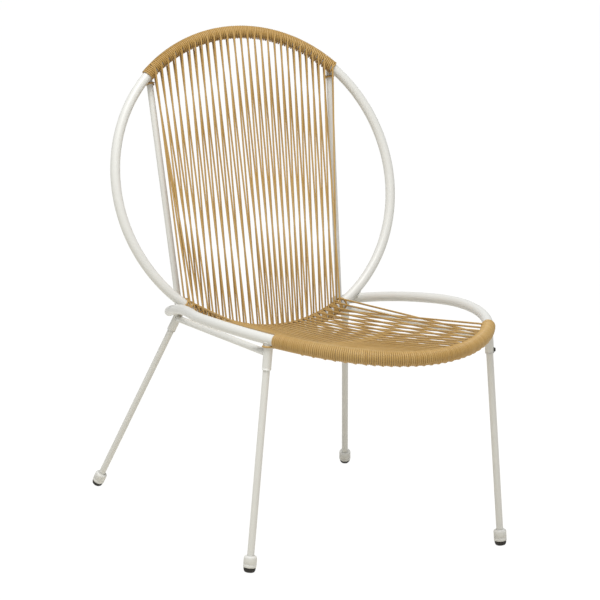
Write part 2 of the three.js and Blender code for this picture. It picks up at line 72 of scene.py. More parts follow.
# Seat ring: half ellipses in plan, then straight rails, arched in side view
RING_HALF_WIDTH = 0.2448
RING_WIDEST_Y = LAYOUT_Y - 0.1479
RING_NOSE_REACH = 0.3492
RING_REAR_REACH = 0.279
RAIL_STRAIGHT_Y = LAYOUT_Y - 0.0783
RAIL_END_Y = LAYOUT_Y + 0.223
RING_PEAK_Y = LAYOUT_Y - 0.1757
RING_PEAK_HEIGHT = 0.4004
RING_NOSE_DROP = 0.0285

# Back uprights, legs and stretchers, by their ends
UPRIGHT_TOP_X = 0.1833
UPRIGHT_FOOT = (0.161, LAYOUT_Y + 0.1893, 0.362)
UPRIGHT_STAND = 0.0153
UPRIGHT_OVERRUN = 0.008
FRONT_SOCKET_Y = LAYOUT_Y - 0.344
FRONT_FLOOR = (0.236, LAYOUT_Y - 0.3366, 0.0)
REAR_SOCKET = (0.165, LAYOUT_Y + 0.169, 0.369)
REAR_FLOOR = (0.2628, LAYOUT_Y + 0.3856, 0.0)
STRETCHER_REAR_DROP = 0.019
STRETCHER_FRONT_DROP = 0.023
SOCKET_LENGTH = 0.051
BOLT_DROP = 0.045

# Inner details of the frame: what slides into what, rims, and rows of points along the tubes
SOCKET_PLAY = 0.0003
SOCKET_BORE_DEPTHS = (0.008, 0.02)
LEG_IN_SOCKET = 0.03
LEG_IN_COLLAR = 0.006
LEG_ROUNDING = 0.0006
UPRIGHT_ROUNDING = 0.0012
END_RING_SHARE = 0.6
POLE = 1e-5
ROUND = 32
HOOP_ROWS = 200
RAIL_ROWS, NOSE_ROWS = 60, 141
STRETCHER_ROWS = 40
SOCKET_ROWS = 12
ARC_ROWS = 9
RIM_ROWS = 5

# Foot, along its leg: a collar with a rounded shoulder and a groove, then a domed tip
COLLAR_HEIGHT = 0.0198
COLLAR_SHOULDER = 0.0042
COLLAR_PLAY = 0.0002
COLLAR_BORE = 0.005
GROOVE_RISE = 0.0058
GROOVE_HALF_WIDTH = 0.0006
GROOVE_DEPTH = 0.0005
TIP_RADIUS = 0.0104
TIP_HEIGHT = 0.0085
TIP_FLAT_RADIUS = 0.0058
TIP_EDGE = 0.0004
TIP_GAP = 0.0001
TIP_DOME = (0.9, 0.8)
TIP_ROWS = 12
TIP_FOOTING = 0.0076

# Bolt, outwards from the socket's wall: (distance, radius) down the washer and the head; and the
# way each leg's bolt faces
BOLT_SINK = 0.0002
WASHER = ((0, POLE), (0, 0.0044), (0.0007, 0.0044), (0.0009, 0.0042), (0.0009, POLE))
BOLT_HEAD = ((0.0008, POLE), (0.0008, 0.0034), (0.0026, 0.0034), (0.003, 0.0029), (0.003, POLE))
WASHER_SIDES, HEXAGON = 24, 6
BOLTS = {
    "front_left": (1, 2, 0),
    "front_right": (2, -1, 0),
    "rear_left": (1, 2, 0),
    "rear_right": (1, 2, 0),
}

# Weld beads: points along one, facets round it, and how much its puddles swell it; a bead on
# crossed tubes follows a gap of so many beads and stays within so many radii
BEAD_POINTS, BEAD_SIDES = 48, 10
BEAD_SWELL = 0.1
BUTT_PUDDLES, CROSS_PUDDLES = 11, 9
CROSS_GAP, CROSS_REACH = 1.6, 2.2
STRETCHER_BEAD = 0.8
HOOP_SEARCH_ROWS = 2001

# Back winding on each bar of the hoop: x of the outermost falling strands; turns of cord from each
# falling strand to the next; how far in x the next rising strand lies from it, as (space, x) with
# the spaces between in proportion; and the same for the first rising strand
BACK_TOP = (
    (-0.178, 0.180),
    ((5, 5), (4, 21), (6, 1)),
    ((0, 0.0040), (7, 0.0040), (14, 0.0077), (17, 0.0077), (22, 0.0056), (26, 0.0056)),
    0.0050,
)
BACK_BOTTOM = (
    (-0.1632, 0.1385),
    ((3, 4), (4, 8), (3, 10), (4, 5)),
    ((0, 0.0103), (12, 0.0103), (13, 0.0089), (19, 0.0089), (20, 0.0100), (26, 0.0100)),
    0.0025,
)
TOP_LEFT_TURNS = 4.4
TOP_LEFT_LEAN = -0.0012
TOP_RIGHT_TURNS = 1.1
BOTTOM_LEFT_TURNS = 1.5
TOP_LEFT_PLACE, TOP_RIGHT_PLACE = 1.5, 1.6
TOP_LEFT_END = -1.6 * math.pi
BACK_START, BACK_END = 1.3 * math.pi, -0.9 * math.pi
STRAND_SLIP = 0.0003
STRAND_BOW = 0.0002

# Seat winding: x of the outermost strands on the nose, turns before the first one, and turns on
# the bottom bar's right end, where the tube stays half bare
SEAT_FRONT_X = (0.182, -0.178)
SEAT_FIRST_TURNS = 5
SEAT_RIGHT_TURNS = (3, 3, 2, 2)
NOSE_RISE = 0.0014
NOSE_ENDS = (("left", 1, 0.0053), ("right", -1, 0.0048))
NOSE_RISE_ANGLE = 0.4 * math.pi
NOSE_LEAVE = 0.11
NOSE_SLIP = 0.03
SEAT_START = 0.5 * math.pi
SEAT_UNDER, SEAT_OVER = math.radians(101), math.radians(281)
SEAT_LEFT_TURNS, SEAT_LEFT_PLACE = 2, 3

# Cord in general: points a turn and along each bar, rounding of its sharp corners, random seeds,
# and the metres at which the UV of each further run of cord starts
STEPS = 26
BAR_ROWS = 721
STRAND_POINTS = 12
CORNER_REACH, CORNER_SHARE = 0.003, 0.45
CORNER_ANGLE = math.radians(17)
BACK_SEED, PLACES_SEED, SEAT_SEED = 11, 17, 29
BACK_UV_STARTS = (5.0, 9.0)
SEAT_UV_START = 2.0
NOSE_UV_STARTS = (3.0, 7.0)

# Ties: turns, the turn at mid height, points, and drops from the rod's top to the middle
TIE_TURNS, TIE_MIDDLE, TIE_POINTS = 1.35, 0.6, 44
UPPER_TIES = (("upper_left", -1, 0.027), ("upper_right", 1, 0.023))
FRONT_TIE_DROP = 0.0118

# Stage: lamps by name, place, size in metres and power in watts
LAMPS = (("key", (-0.9, -1.3, 4.2), 2.2, 148.0), ("front", (-0.2, -4.6, 1.8), 2.6, 8.0))
LAMP_TARGET = (0, 0, 0.45)
FILL_STRENGTH = 0.50
FLOOR_HALF_SIZE = 30.0
FLOOR_GLOW, FLOOR_GLOW_SHARE = 1.075, 0.9
VIEW_TARGET_Z = 0.3987
CLIPPING = (0.1, 200)


def hex_to_linear(code):
    """An sRGB hex colour as linear numbers, by the sRGB transfer curve."""
    parts = [int(code[place:place + 2], 16) / 255 for place in (1, 3, 5)]
    return (*[v / 12.92 if v <= 0.04045 else ((v + 0.055) / 1.055) ** 2.4 for v in parts], 1)


def metres(name, description, default):
    """A length as a property."""
    return FloatProperty(name=name, description=description, default=default, unit="LENGTH")


def swatch(name, description, code):
    """An sRGB hex colour as a property."""
    return FloatVectorProperty(name=name, description=description, subtype="COLOR", size=4,
                               default=hex_to_linear(code))


def angle_of(name, description, degrees):
    """An angle as a property."""
    return FloatProperty(name=name, description=description, default=math.radians(degrees),
                         subtype="ANGLE")


class ChairFrameSizes(bpy.types.PropertyGroup):
    """Radii of the steel tube and rod."""

    tube_radius: metres("Tube radius", "Radius of the hoop and the seat ring", 0.009)
    rod_radius: metres("Rod radius", "Radius of the legs, uprights and stretchers", 0.006)
    socket_radius: metres("Socket radius", "Outer radius of the leg sockets", 0.0077)
    bead_radius: metres("Weld bead", "Radius of the weld beads under the coat", 0.0013)
    collar_radius: metres("Collar radius", "Radius of the foot collars", 0.0112)


class ChairCordSizes(bpy.types.PropertyGroup):
    """Sizes of the cord."""

    cord_radius: metres("Cord radius", "Radius of the PE cord", 0.0017)
    cord_sides: IntProperty(
        name="Cord sides", description="Facets round the cord", default=10, min=6)


class ChairColours(bpy.types.PropertyGroup):
    """Colours of the finishes."""

    coat: swatch("Powder coat", "White powder coat", "#D9D9D5")
    cord: swatch("Cord", "Tan PE cord", "#C0A067")
    cord_dark: swatch("Cord streaks", "Darker streaks along the cord", "#A88341")
    rubber: swatch("Rubber", "Foot tips", "#1E1C18")
    bolt: swatch("Bolts", "Blackened leg bolts", "#3A3936")
    floor: swatch("Floor", "Floor and backdrop", "#EAE6DA")


# Small vector sums on arrays of points


def unit(vectors):
    """Each vector divided by its own length."""
    vectors = np.asarray(vectors, float)
    return vectors / np.linalg.norm(vectors, axis=-1, keepdims=True)


def square_to(vectors, direction):
    """The part of each vector that is square to a unit direction, made a unit vector."""
    along = np.sum(vectors * direction, axis=-1, keepdims=True)
    return unit(vectors - along * direction)


def tangents(points, closed=False):
    """At each point the mean of the unit steps before and after it, made a unit vector."""
    if closed:
        steps = unit(np.roll(points, -1, axis=0) - points)
        return unit(steps + np.roll(steps, 1, axis=0))
    steps = unit(np.diff(points, axis=0))
    return unit(np.vstack([steps[:1], steps[:-1] + steps[1:], steps[-1:]]))


def arc_lengths(path):
    """The length of a path up to each of its points."""
    return np.concatenate([[0], np.cumsum(np.linalg.norm(np.diff(path, axis=0), axis=1))])


def grid_faces(rows, columns, loop_rows, start):
    """Quads between neighbours in a grid whose columns, and rows where asked, form loops."""
    row, column = np.indices((rows if loop_rows else rows - 1, columns))
    next_row, next_column = (row + 1) % rows, (column + 1) % columns
    corners = (row, column), (row, next_column), (next_row, next_column), (next_row, column)
    return np.stack([(a * columns + b).ravel() for a, b in corners], axis=1) + start


def add_object(name, data):
    """A new object in the scene."""
    made = bpy.data.objects.new(name, data)
    bpy.context.scene.collection.objects.link(made)
    return made


class Surfaces:
    """Grids of points that become one mesh, with a UV map in metres where they are cord."""

    def __init__(self):
        self.points, self.faces, self.uvs, self.count = [], [], [], 0

    def add(self, grid, loop_rows=False, caps=False, uv=0.0):
        """Adds a grid of rows of points. Caps close its first and last row with one face each."""
        rows, columns, _ = grid.shape
        self.faces += grid_faces(rows, columns, loop_rows, self.count).tolist()
        if caps:
            place = np.arange(rows * columns).reshape(rows, columns) + self.count
            self.faces += [place[0][::-1].tolist(), place[-1].tolist()]
        self.points.append(grid.reshape(-1, 3))
        self.uvs.append(np.broadcast_to(uv, (rows, columns, 2)).reshape(-1, 2))
        self.count += rows * columns

    def build(self, name, slot, nodes=(), flat=False):
        mesh = bpy.data.meshes.new(name)
        mesh.from_pydata(np.vstack(self.points).tolist(), [], self.faces)
        layer = mesh.uv_layers.new(name="cord")
        corner = np.zeros(len(mesh.loops), np.int32)
        mesh.loops.foreach_get("vertex_index", corner)
        layer.data.foreach_set("uv", np.vstack(self.uvs)[corner].astype(np.float32).ravel())
        mesh.materials.append(finish_for(slot))
        mesh.polygons.foreach_set("use_smooth", [not flat] * len(mesh.polygons))
        mesh.update()
        piece = add_object(name, mesh)
        # Closed shells are made to face outwards.
        work = bmesh.new()
        work.from_mesh(mesh)
        bmesh.ops.recalc_face_normals(work, faces=work.faces)
        work.to_mesh(mesh)
        work.free()
        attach(piece, BODY)
        if nodes:
            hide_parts(*nodes)


def add_solid(name, slot, replaced, *grids, flat=False):
    """One piece made of capped grids, in place of one node."""
    surfaces = Surfaces()
    for grid in grids:
        surfaces.add(grid, caps=True)
    surfaces.build(name, slot, [replaced], flat)


def rings(centres, radius, first, second, sides):
    """A ring of points round each centre: centre + radius (cos a first + sin a second)."""
    angle = np.linspace(0, 2 * np.pi, sides, endpoint=False)[None, :, None]
    radius = np.broadcast_to(radius, len(centres))[:, None, None]
    return centres[:, None] + radius * (np.cos(angle) * first + np.sin(angle) * second)


def tube_grid(points, radius, sides, across, closed=False):
    """Rings round a path. The first direction of each is the given one, or the one given for
    its point, made square to the path, and the second completes the pair."""
    along = tangents(points, closed)
    first = square_to(np.broadcast_to(np.asarray(across, float), points.shape), along)
    return rings(points, radius, first[:, None], np.cross(along, first)[:, None], sides)


def lathe_grid(start, direction, profile, sides):
    """A profile of (distance along, radius) turned about a line."""
    direction = unit(direction)
    helper = 0 if abs(direction[0]) < 0.8 else 1
    first = square_to(np.eye(3)[helper], direction)
    profile = np.asarray(profile, float)
    centre = np.asarray(start, float) + profile[:, 0, None] * direction
    return rings(centre, profile[:, 1], first, np.cross(direction, first), sides)


def arc_profile(centre_along, centre_radius, radius, start, end, steps):
    """Profile points on a circle about (along, radius), angles counted from the line's
    direction."""
    angle = np.linspace(start, end, steps)
    return np.stack([centre_along + radius * np.cos(angle),
                     centre_radius + radius * np.sin(angle)], axis=1)


# The chair's centrelines


def hoop_points(angle):
    """The hoop's centreline at angles from its top: an ellipse in a plane that leans back."""
    rise = HOOP_HALF_HEIGHT * np.cos(angle)
    return np.stack([
        HOOP_HALF_WIDTH * np.sin(angle),
        HOOP_CENTRE_Y + rise * math.sin(HOOP_TILT),
        HOOP_CENTRE_Z + rise * math.cos(HOOP_TILT),
    ], axis=-1)


def ring_height(y):
    """Height of the seat ring: a parabola that falls both ways from its peak."""
    share = (y - RING_PEAK_Y) / (RING_WIDEST_Y - RING_NOSE_REACH - RING_PEAK_Y)
    return RING_PEAK_HEIGHT - RING_NOSE_DROP * share ** 2


def nose_points(angle):
    """The ring's front half at angles from its nose: half an ellipse in plan."""
    y = RING_WIDEST_Y - RING_NOSE_REACH * np.cos(angle)
    return np.stack([RING_HALF_WIDTH * np.sin(angle), y, ring_height(y)], axis=-1)


def rail_points(y):
    """One rail behind the widest place: the rear ellipse, then its tangent to the free end."""
    def ellipse(place):
        share = np.clip((place - RING_WIDEST_Y) / RING_REAR_REACH, -1, 1)
        return RING_HALF_WIDTH * np.sqrt(1 - share ** 2)
    start = ellipse(RAIL_STRAIGHT_Y)
    slope = (-RING_HALF_WIDTH ** 2 * (RAIL_STRAIGHT_Y - RING_WIDEST_Y)
             / (RING_REAR_REACH ** 2 * start))
    x = np.where(y < RAIL_STRAIGHT_Y, ellipse(y), start + slope * (y - RAIL_STRAIGHT_Y))
    return np.stack([x, y, ring_height(y)], axis=-1)


def ring_path():
    """The whole ring, from the left rail's end round the nose to the right rail's end."""
    rail = rail_points(np.linspace(RING_WIDEST_Y, RAIL_END_Y, RAIL_ROWS)[1:])
    nose = nose_points(np.linspace(-np.pi / 2, np.pi / 2, NOSE_ROWS))
    return np.vstack([(rail * [-1, 1, 1])[::-1], nose, rail])


HOOP_FORWARD = np.array([0, -math.cos(HOOP_TILT), math.sin(HOOP_TILT)])


def upright_ends(side):
    """Foot and top of an upright, and its top's place beside the hoop."""
    angle = math.asin(UPRIGHT_TOP_X / HOOP_HALF_WIDTH)
    joint = hoop_points(np.array(angle)) - UPRIGHT_STAND * HOOP_FORWARD
    foot = np.array(UPRIGHT_FOOT)
    top = joint + UPRIGHT_OVERRUN * unit(joint - foot)
    mirror = np.array([side, 1, 1])
    return foot * mirror, top * mirror, joint * mirror


def leg_ends(label):
    """Where a leg's line leaves the ring and where it meets the floor."""
    place, side = label.split("_")
    if place == "front":
        angle = math.acos((RING_WIDEST_Y - FRONT_SOCKET_Y) / RING_NOSE_REACH)
        start, floor = nose_points(np.array(angle)), np.array(FRONT_FLOOR)
    else:
        start, floor = np.array(REAR_SOCKET), np.array(REAR_FLOOR)
    mirror = [-1 if side == "left" else 1, 1, 1]
    return start * mirror, floor * mirror


def line_near(path, point):
    """A path's point nearest to the given one, and its direction there."""
    place = np.argmin(np.linalg.norm(path - point, axis=1))
    return path[place], tangents(path)[place]


def stretcher_ends(label):
    """The points of a stretcher's front and rear ends on the legs' lines, each with its leg's
    direction down, and the direction from the front one to the rear one."""
    ends = []
    for place, drop in (("front", STRETCHER_FRONT_DROP), ("rear", STRETCHER_REAR_DROP)):
        start, floor = leg_ends(f"{place}_{label}")
        down = unit(floor - start)
        ends.append((start + down * drop / -down[2], down))
    return *ends, unit(ends[1][0] - ends[0][0])


# Materials


def node(tree, kind, settings=None, links=None):
    """Adds a node, sets its attributes or sockets and links its inputs."""
    made = tree.nodes.new(kind)
    for key, value in (settings or {}).items():
        if isinstance(key, str) and hasattr(made, key):
            setattr(made, key, value)
        else:
            made.inputs[key].default_value = value
    for key, source in (links or {}).items():
        tree.links.new(source, made.inputs[key])
    return made


def new_material(name):
    """A node material, which starts with a Principled shader, and its tree."""
    material = bpy.data.materials.new(name)
    material.use_nodes = True
    return material, material.node_tree


def feed(tree, inputs):
    """Sets inputs of the tree's Principled shader to values, or links them to outputs."""
    shader = tree.nodes["Principled BSDF"]
    for name, value in inputs.items():
        if isinstance(value, bpy.types.NodeSocket):
            tree.links.new(value, shader.inputs[name])
        else:
            shader.inputs[name].default_value = value


def toned(colour, times=1.0):
    """A colour with its light multiplied."""
    return (*[value * times for value in colour[:3]], 1)


def powder_coat(tree, colours):
    """Polyester powder coat, sprayed and baked: an even white with a fine orange peel, which
    breaks up its soft highlight, and hardly any change of tone."""
    place = node(tree, "ShaderNodeTexCoord").outputs["Object"]
    tone = node(tree, "ShaderNodeTexNoise", {"Scale": 9.0, "Detail": 2.0}, {"Vector": place})
    mix = node(tree, "ShaderNodeMix",
               {"data_type": "RGBA", 6: toned(colours.coat), 7: toned(colours.coat, 0.97)},
               {0: tone.outputs[0]})
    # Peel cells are about 1.2 mm across: one noise cell per 1/850 m.
    peel = node(tree, "ShaderNodeTexNoise", {"Scale": 850.0, "Detail": 1.0}, {"Vector": place})
    bump = node(tree, "ShaderNodeBump", {"Strength": 0.12, "Distance": 0.0002},
                {"Height": peel.outputs[0]})
    rough = node(tree, "ShaderNodeMapRange", {"To Min": 0.36, "To Max": 0.46},
                 {0: tone.outputs[0]})
    return {"Base Color": mix.outputs[2], "Normal": bump.outputs[0], "Roughness": rough.outputs[0]}


def moulded_collar(tree, colours):
    """White moulded polyethylene: a soft satin, faintly mottled by its flow."""
    place = node(tree, "ShaderNodeTexCoord").outputs["Object"]
    # Flow marks are about 8 mm across.
    flow = node(tree, "ShaderNodeTexNoise", {"Scale": 120.0, "Detail": 2.0}, {"Vector": place})
    mix = node(tree, "ShaderNodeMix",
               {"data_type": "RGBA", 6: toned(colours.coat), 7: toned(colours.coat, 0.95)},
               {0: flow.outputs[0]})
    bump = node(tree, "ShaderNodeBump", {"Strength": 0.08, "Distance": 0.0003},
                {"Height": flow.outputs[0]})
    return {"Base Color": mix.outputs[2], "Normal": bump.outputs[0], "Roughness": 0.5}


def black_rubber(tree, colours):
    """Moulded black rubber: matt, with a fine grain and dust that lightens it unevenly."""
    place = node(tree, "ShaderNodeTexCoord").outputs["Object"]
    # The grain is about 1.1 mm across, coarser than the real one, so that it shows.
    grain = node(tree, "ShaderNodeTexNoise", {"Scale": 900.0, "Detail": 3.0}, {"Vector": place})
    mix = node(tree, "ShaderNodeMix",
               {"data_type": "RGBA", 6: toned(colours.rubber), 7: toned(colours.rubber, 2.2)},
               {0: grain.outputs[0]})
    bump = node(tree, "ShaderNodeBump", {"Strength": 0.25, "Distance": 0.0003},
                {"Height": grain.outputs[0]})
    return {"Base Color": mix.outputs[2], "Normal": bump.outputs[0], "Roughness": 0.72}


def blackened_steel(tree, colours):
    """Black oxide on a steel bolt: dark, half matt, worn lighter in small spots."""
    place = node(tree, "ShaderNodeTexCoord").outputs["Object"]
    # Worn spots are about 1.4 mm across.
    wear = node(tree, "ShaderNodeTexNoise", {"Scale": 700.0, "Detail": 3.0}, {"Vector": place})
    mix = node(tree, "ShaderNodeMix",
               {"data_type": "RGBA", 6: toned(colours.bolt), 7: toned(colours.bolt, 2.0)},
               {0: wear.outputs[0]})
    rough = node(tree, "ShaderNodeMapRange", {"To Min": 0.35, "To Max": 0.55},
                 {0: wear.outputs[0]})
    return {"Base Color": mix.outputs[2], "Roughness": rough.outputs[0], "Metallic": 0.9}


def extruded_cord(tree, colours):
    """Extruded PE cord: satin, with die lines along it and a tone that drifts from metre to
    metre and from strand to strand. The UV map runs along the cord (U) and round it (V)."""
    uv = node(tree, "ShaderNodeUVMap", {"uv_map": "cord"}).outputs[0]
    # Streaks are about 120 mm long and a sixth of the way round.
    stretched = node(tree, "ShaderNodeMapping", {"Scale": (8.0, 6.0, 1.0)}, {"Vector": uv})
    streak = node(tree, "ShaderNodeTexNoise", {"Scale": 1.0, "Detail": 3.0},
                  {"Vector": stretched.outputs[0]})
    # The tone drifts over about 200 mm.
    place = node(tree, "ShaderNodeTexCoord").outputs["Object"]
    drift = node(tree, "ShaderNodeTexNoise", {"Scale": 5.0, "Detail": 1.0}, {"Vector": place})
    blend = node(tree, "ShaderNodeMix", {"data_type": "FLOAT", 0: 0.4},
                 {2: streak.outputs[0], 3: drift.outputs[0]})
    spread = node(tree, "ShaderNodeMapRange", {"From Min": 0.35, "From Max": 0.65},
                  {0: blend.outputs[0]})
    mix = node(tree, "ShaderNodeMix",
               {"data_type": "RGBA", 6: toned(colours.cord), 7: toned(colours.cord_dark)},
               {0: spread.outputs[0]})
    # Twelve die lines round the cord.
    lines = node(tree, "ShaderNodeTexWave",
                 {"bands_direction": "Y", "Scale": 3.8, "Distortion": 0.4}, {"Vector": uv})
    bump = node(tree, "ShaderNodeBump", {"Strength": 0.2, "Distance": 0.0002},
                {"Height": lines.outputs[1]})
    rough = node(tree, "ShaderNodeMapRange", {"To Min": 0.42, "To Max": 0.55},
                 {0: streak.outputs[0]})
    return {"Base Color": mix.outputs[2], "Normal": bump.outputs[0], "Roughness": rough.outputs[0]}


FINISHES = {
    "white_powder_coat": ("white_powder_coat", powder_coat),
    "white_collar_plastic": ("white_moulded_polyethylene", moulded_collar),
    "black_rubber": ("moulded_black_rubber", black_rubber),
    "dark_bolt_steel": ("black_oxide_steel", blackened_steel),
    "tan_cord": ("extruded_tan_pe_cord", extruded_cord),
}
made_finishes = {}


def finish_for(slot):
    """The one material of a slot, made when it is first asked for."""
    if slot not in made_finishes:
        name, build = FINISHES[slot]
        made_finishes[slot], tree = new_material(name)
        feed(tree, build(tree, bpy.context.scene.chair_colours))
    return made_finishes[slot]


# Steel frame


def meet(start, along, outline, other, reach):
    """A tube's outline, carried along the tube by t to where it meets another tube's surface: t
    is the root of |offset square to the other's direction| = reach."""
    centre, direction = other
    offset = start + outline - centre
    side = offset - (offset @ direction)[:, None] * direction
    step = along - (along @ direction) * direction
    a, b = step @ step, 2 * side @ step
    c = np.sum(side * side, axis=1) - reach ** 2
    t = (-b + np.sqrt(np.maximum(b * b - 4 * a * c, 0))) / (2 * a)
    return start + outline + t[:, None] * along


def round_outline(along, radius, sides=ROUND):
    """A circle of offsets square to a direction."""
    return lathe_grid((0, 0, 0), along, [(0, radius)], sides)[0]


def add_bead(surfaces, path, bead, puddles):
    """A bead of weld on a closed path. It swells and narrows in small even waves, as a row of
    weld puddles does."""
    wave = np.sin(np.linspace(0, 2 * np.pi * puddles, len(path), endpoint=False))
    grid = tube_grid(path, bead * (1 + BEAD_SWELL * wave), BEAD_SIDES,
                     path - path.mean(axis=0), closed=True)
    surfaces.add(grid, loop_rows=True)


def butt_weld(surfaces, end, other, reach, radius, bead):
    """A bead round a tube's end, given by its point and direction, where it meets another."""
    start, along = end
    outline = round_outline(along, radius, BEAD_POINTS)
    add_bead(surfaces, meet(start, along, outline, other, reach), bead, BUTT_PUDDLES)


def cross_weld(surfaces, first, second, radii, bead):
    """A bead round the place where two tubes lie across each other. It follows the line on which
    the space between them, x^2 / 2R + y^2 / 2r, is CROSS_GAP beads wide."""
    (point_a, along_a), (point_b, along_b) = first, second
    normal = np.cross(along_a, along_b)
    gap = point_b - point_a
    normal = unit(-normal if normal @ gap < 0 else normal)
    solved = np.linalg.lstsq(np.stack([along_a, -along_b], axis=1), gap, rcond=None)[0]
    near_a = point_a + solved[0] * along_a
    near_b = point_b + solved[1] * along_b
    distance = np.linalg.norm(near_b - near_a)
    middle = near_a + normal * (radii[0] + (distance - radii[0] - radii[1]) / 2)
    across_a, across_b = np.cross(normal, along_a), np.cross(normal, along_b)
    angle = np.linspace(0, 2 * np.pi, BEAD_POINTS, endpoint=False)
    direction = np.cos(angle)[:, None] * along_a + np.sin(angle)[:, None] * across_a
    spread = ((direction @ across_a) ** 2 / (2 * radii[0])
              + (direction @ across_b) ** 2 / (2 * radii[1]))
    reach = np.sqrt(CROSS_GAP * bead / np.maximum(spread, 1e-9))
    path = middle + np.minimum(reach, CROSS_REACH * min(radii))[:, None] * direction
    add_bead(surfaces, path, bead, CROSS_PUDDLES)


def rounded_rod(start, end, radius, rounding):
    """A straight rod whose two rims are rounded over."""
    length, inner = np.linalg.norm(end - start), radius - rounding
    low = arc_profile(rounding, inner, rounding, np.pi, np.pi / 2, RIM_ROWS)
    high = arc_profile(length - rounding, inner, rounding, np.pi / 2, 0, RIM_ROWS)
    profile = np.vstack([[(0, POLE), (0, inner * END_RING_SHARE)], low, high,
                         [(length, inner * END_RING_SHARE), (length, POLE)]])
    return lathe_grid(start, end - start, profile, ROUND)


class CHAIR_OT_tubes(bpy.types.Operator):
    """Bent tubes: the back's, closed to a ring, and the seat's, with domed free ends."""

    bl_idname = "chair.tubes"
    bl_label = "Back hoop and seat ring"

    def execute(self, context):
        centre = hoop_points(np.linspace(0, 2 * np.pi, HOOP_ROWS, endpoint=False))
        radius = context.scene.chair_frame.tube_radius
        surfaces = Surfaces()
        surfaces.add(tube_grid(centre, radius, ROUND, HOOP_FORWARD, closed=True), loop_rows=True)
        surfaces.build("hoop_tube", "white_powder_coat", ["back_hoop"])

        path = ring_path()
        body = tube_grid(path, radius, ROUND, (0, 0, 1))
        along = tangents(path)
        angle = np.linspace(0, np.pi / 2, ARC_ROWS)[1:]
        ends = []
        for place, sign in ((0, -1), (-1, 1)):
            offsets = body[place] - path[place]
            rise = sign * radius * np.sin(angle)[:, None, None] * along[place]
            shrink = np.maximum(np.cos(angle), 1e-3)[:, None, None]
            ends.append(path[place] + offsets * shrink + rise)
        add_solid("seat_ring_tube", "white_powder_coat", "seat_ring",
                  np.concatenate([ends[0][::-1], body, ends[1]]))
        return {"FINISHED"}


class CHAIR_OT_uprights(bpy.types.Operator):
    """Two straight rods that carry the hoop."""

    bl_idname = "chair.uprights"
    bl_label = "Back uprights"

    def execute(self, context):
        for label, side in (("left", -1), ("right", 1)):
            foot, top, _ = upright_ends(side)
            rod = rounded_rod(foot, top, context.scene.chair_frame.rod_radius, UPRIGHT_ROUNDING)
            add_solid(f"upright_rod_{label}", "white_powder_coat", f"back_upright_{label}", rod)
        return {"FINISHED"}


def add_socket(label, start, down, sizes):
    """Outer wall from the ring's surface to a rounded rim, then a short bore."""
    radius, bore = sizes.socket_radius, sizes.rod_radius + SOCKET_PLAY
    outline = round_outline(down, 1.0)
    top = meet(start, down, outline * radius, line_near(ring_path(), start), sizes.tube_radius)
    rim = (radius - bore) / 2
    angle = np.linspace(np.pi / 2, -np.pi / 2, ARC_ROWS)
    radii = np.concatenate([(radius + bore) / 2 + rim * np.sin(angle), [bore, bore]])
    along = np.concatenate([SOCKET_LENGTH - rim + rim * np.cos(angle),
                            SOCKET_LENGTH - np.array(SOCKET_BORE_DEPTHS)])
    below = start + along[:, None, None] * down + radii[:, None, None] * outline
    share = np.linspace(0, 1, SOCKET_ROWS)[:, None, None]
    add_solid(f"socket_{label}", "white_powder_coat", f"leg_socket_{label}",
              np.concatenate([top * (1 - share) + below[0] * share, below]))


def add_foot(label, start, floor, down, sizes):
    """Leg rod, collar with a rounded shoulder and a groove, and a domed rubber tip."""
    lean = math.acos(-down[2])
    tip_end = np.linalg.norm(floor - start) - TIP_FOOTING * math.sin(lean)
    collar_end = tip_end - TIP_HEIGHT
    collar_top = collar_end - COLLAR_HEIGHT
    rod = rounded_rod(start + down * (SOCKET_LENGTH - LEG_IN_SOCKET),
                      start + down * (collar_top + LEG_IN_COLLAR),
                      sizes.rod_radius, LEG_ROUNDING)
    add_solid(f"leg_rod_{label}", "white_powder_coat", f"leg_{label}", rod)

    radius, neck = sizes.collar_radius, sizes.rod_radius + COLLAR_PLAY
    shoulder = arc_profile(collar_top + COLLAR_SHOULDER, radius - COLLAR_SHOULDER,
                           COLLAR_SHOULDER, np.pi, np.pi / 2, ARC_ROWS)
    groove, floor_radius = collar_end - GROOVE_RISE, radius - GROOVE_DEPTH
    profile = np.vstack([
        [(collar_top + COLLAR_BORE, neck), (collar_top, neck)],
        shoulder,
        [(groove - GROOVE_HALF_WIDTH, radius), (groove, floor_radius)],
        [(groove + GROOVE_HALF_WIDTH, radius), (collar_end - GROOVE_HALF_WIDTH, radius)],
        [(collar_end, floor_radius), (collar_end, POLE)],
    ])
    add_solid(f"collar_{label}", "white_collar_plastic", f"foot_collar_{label}",
              lathe_grid(start, down, profile, ROUND))

    angle = np.linspace(0, np.pi / 2, TIP_ROWS)
    domed = np.stack([
        tip_end - TIP_HEIGHT + TIP_HEIGHT * np.sin(angle) ** TIP_DOME[0],
        TIP_FLAT_RADIUS + (TIP_RADIUS - TIP_FLAT_RADIUS) * np.cos(angle) ** TIP_DOME[1],
    ], axis=1)
    top = collar_end + TIP_GAP
    profile = np.vstack([[(top, POLE), (top, TIP_RADIUS - TIP_EDGE)], domed, [(tip_end, POLE)]])
    grid = lathe_grid(start, down, profile, ROUND)
    grid[..., 2] = np.maximum(grid[..., 2], 0)
    add_solid(f"tip_{label}", "black_rubber", f"foot_tip_{label}", grid)


def add_bolt(label, start, down, sizes):
    """Hexagon head with chamfered corners on a thin washer."""
    out = square_to(np.array(BOLTS[label], float), down)
    centre = start + down * BOLT_DROP
    base = np.array([sizes.socket_radius - BOLT_SINK, 0])
    washer = lathe_grid(centre, out, WASHER + base, WASHER_SIDES)
    head = lathe_grid(centre, out, BOLT_HEAD + base, HEXAGON)
    add_solid(f"bolt_{label}", "dark_bolt_steel", f"leg_bolt_{label}", washer, head, flat=True)


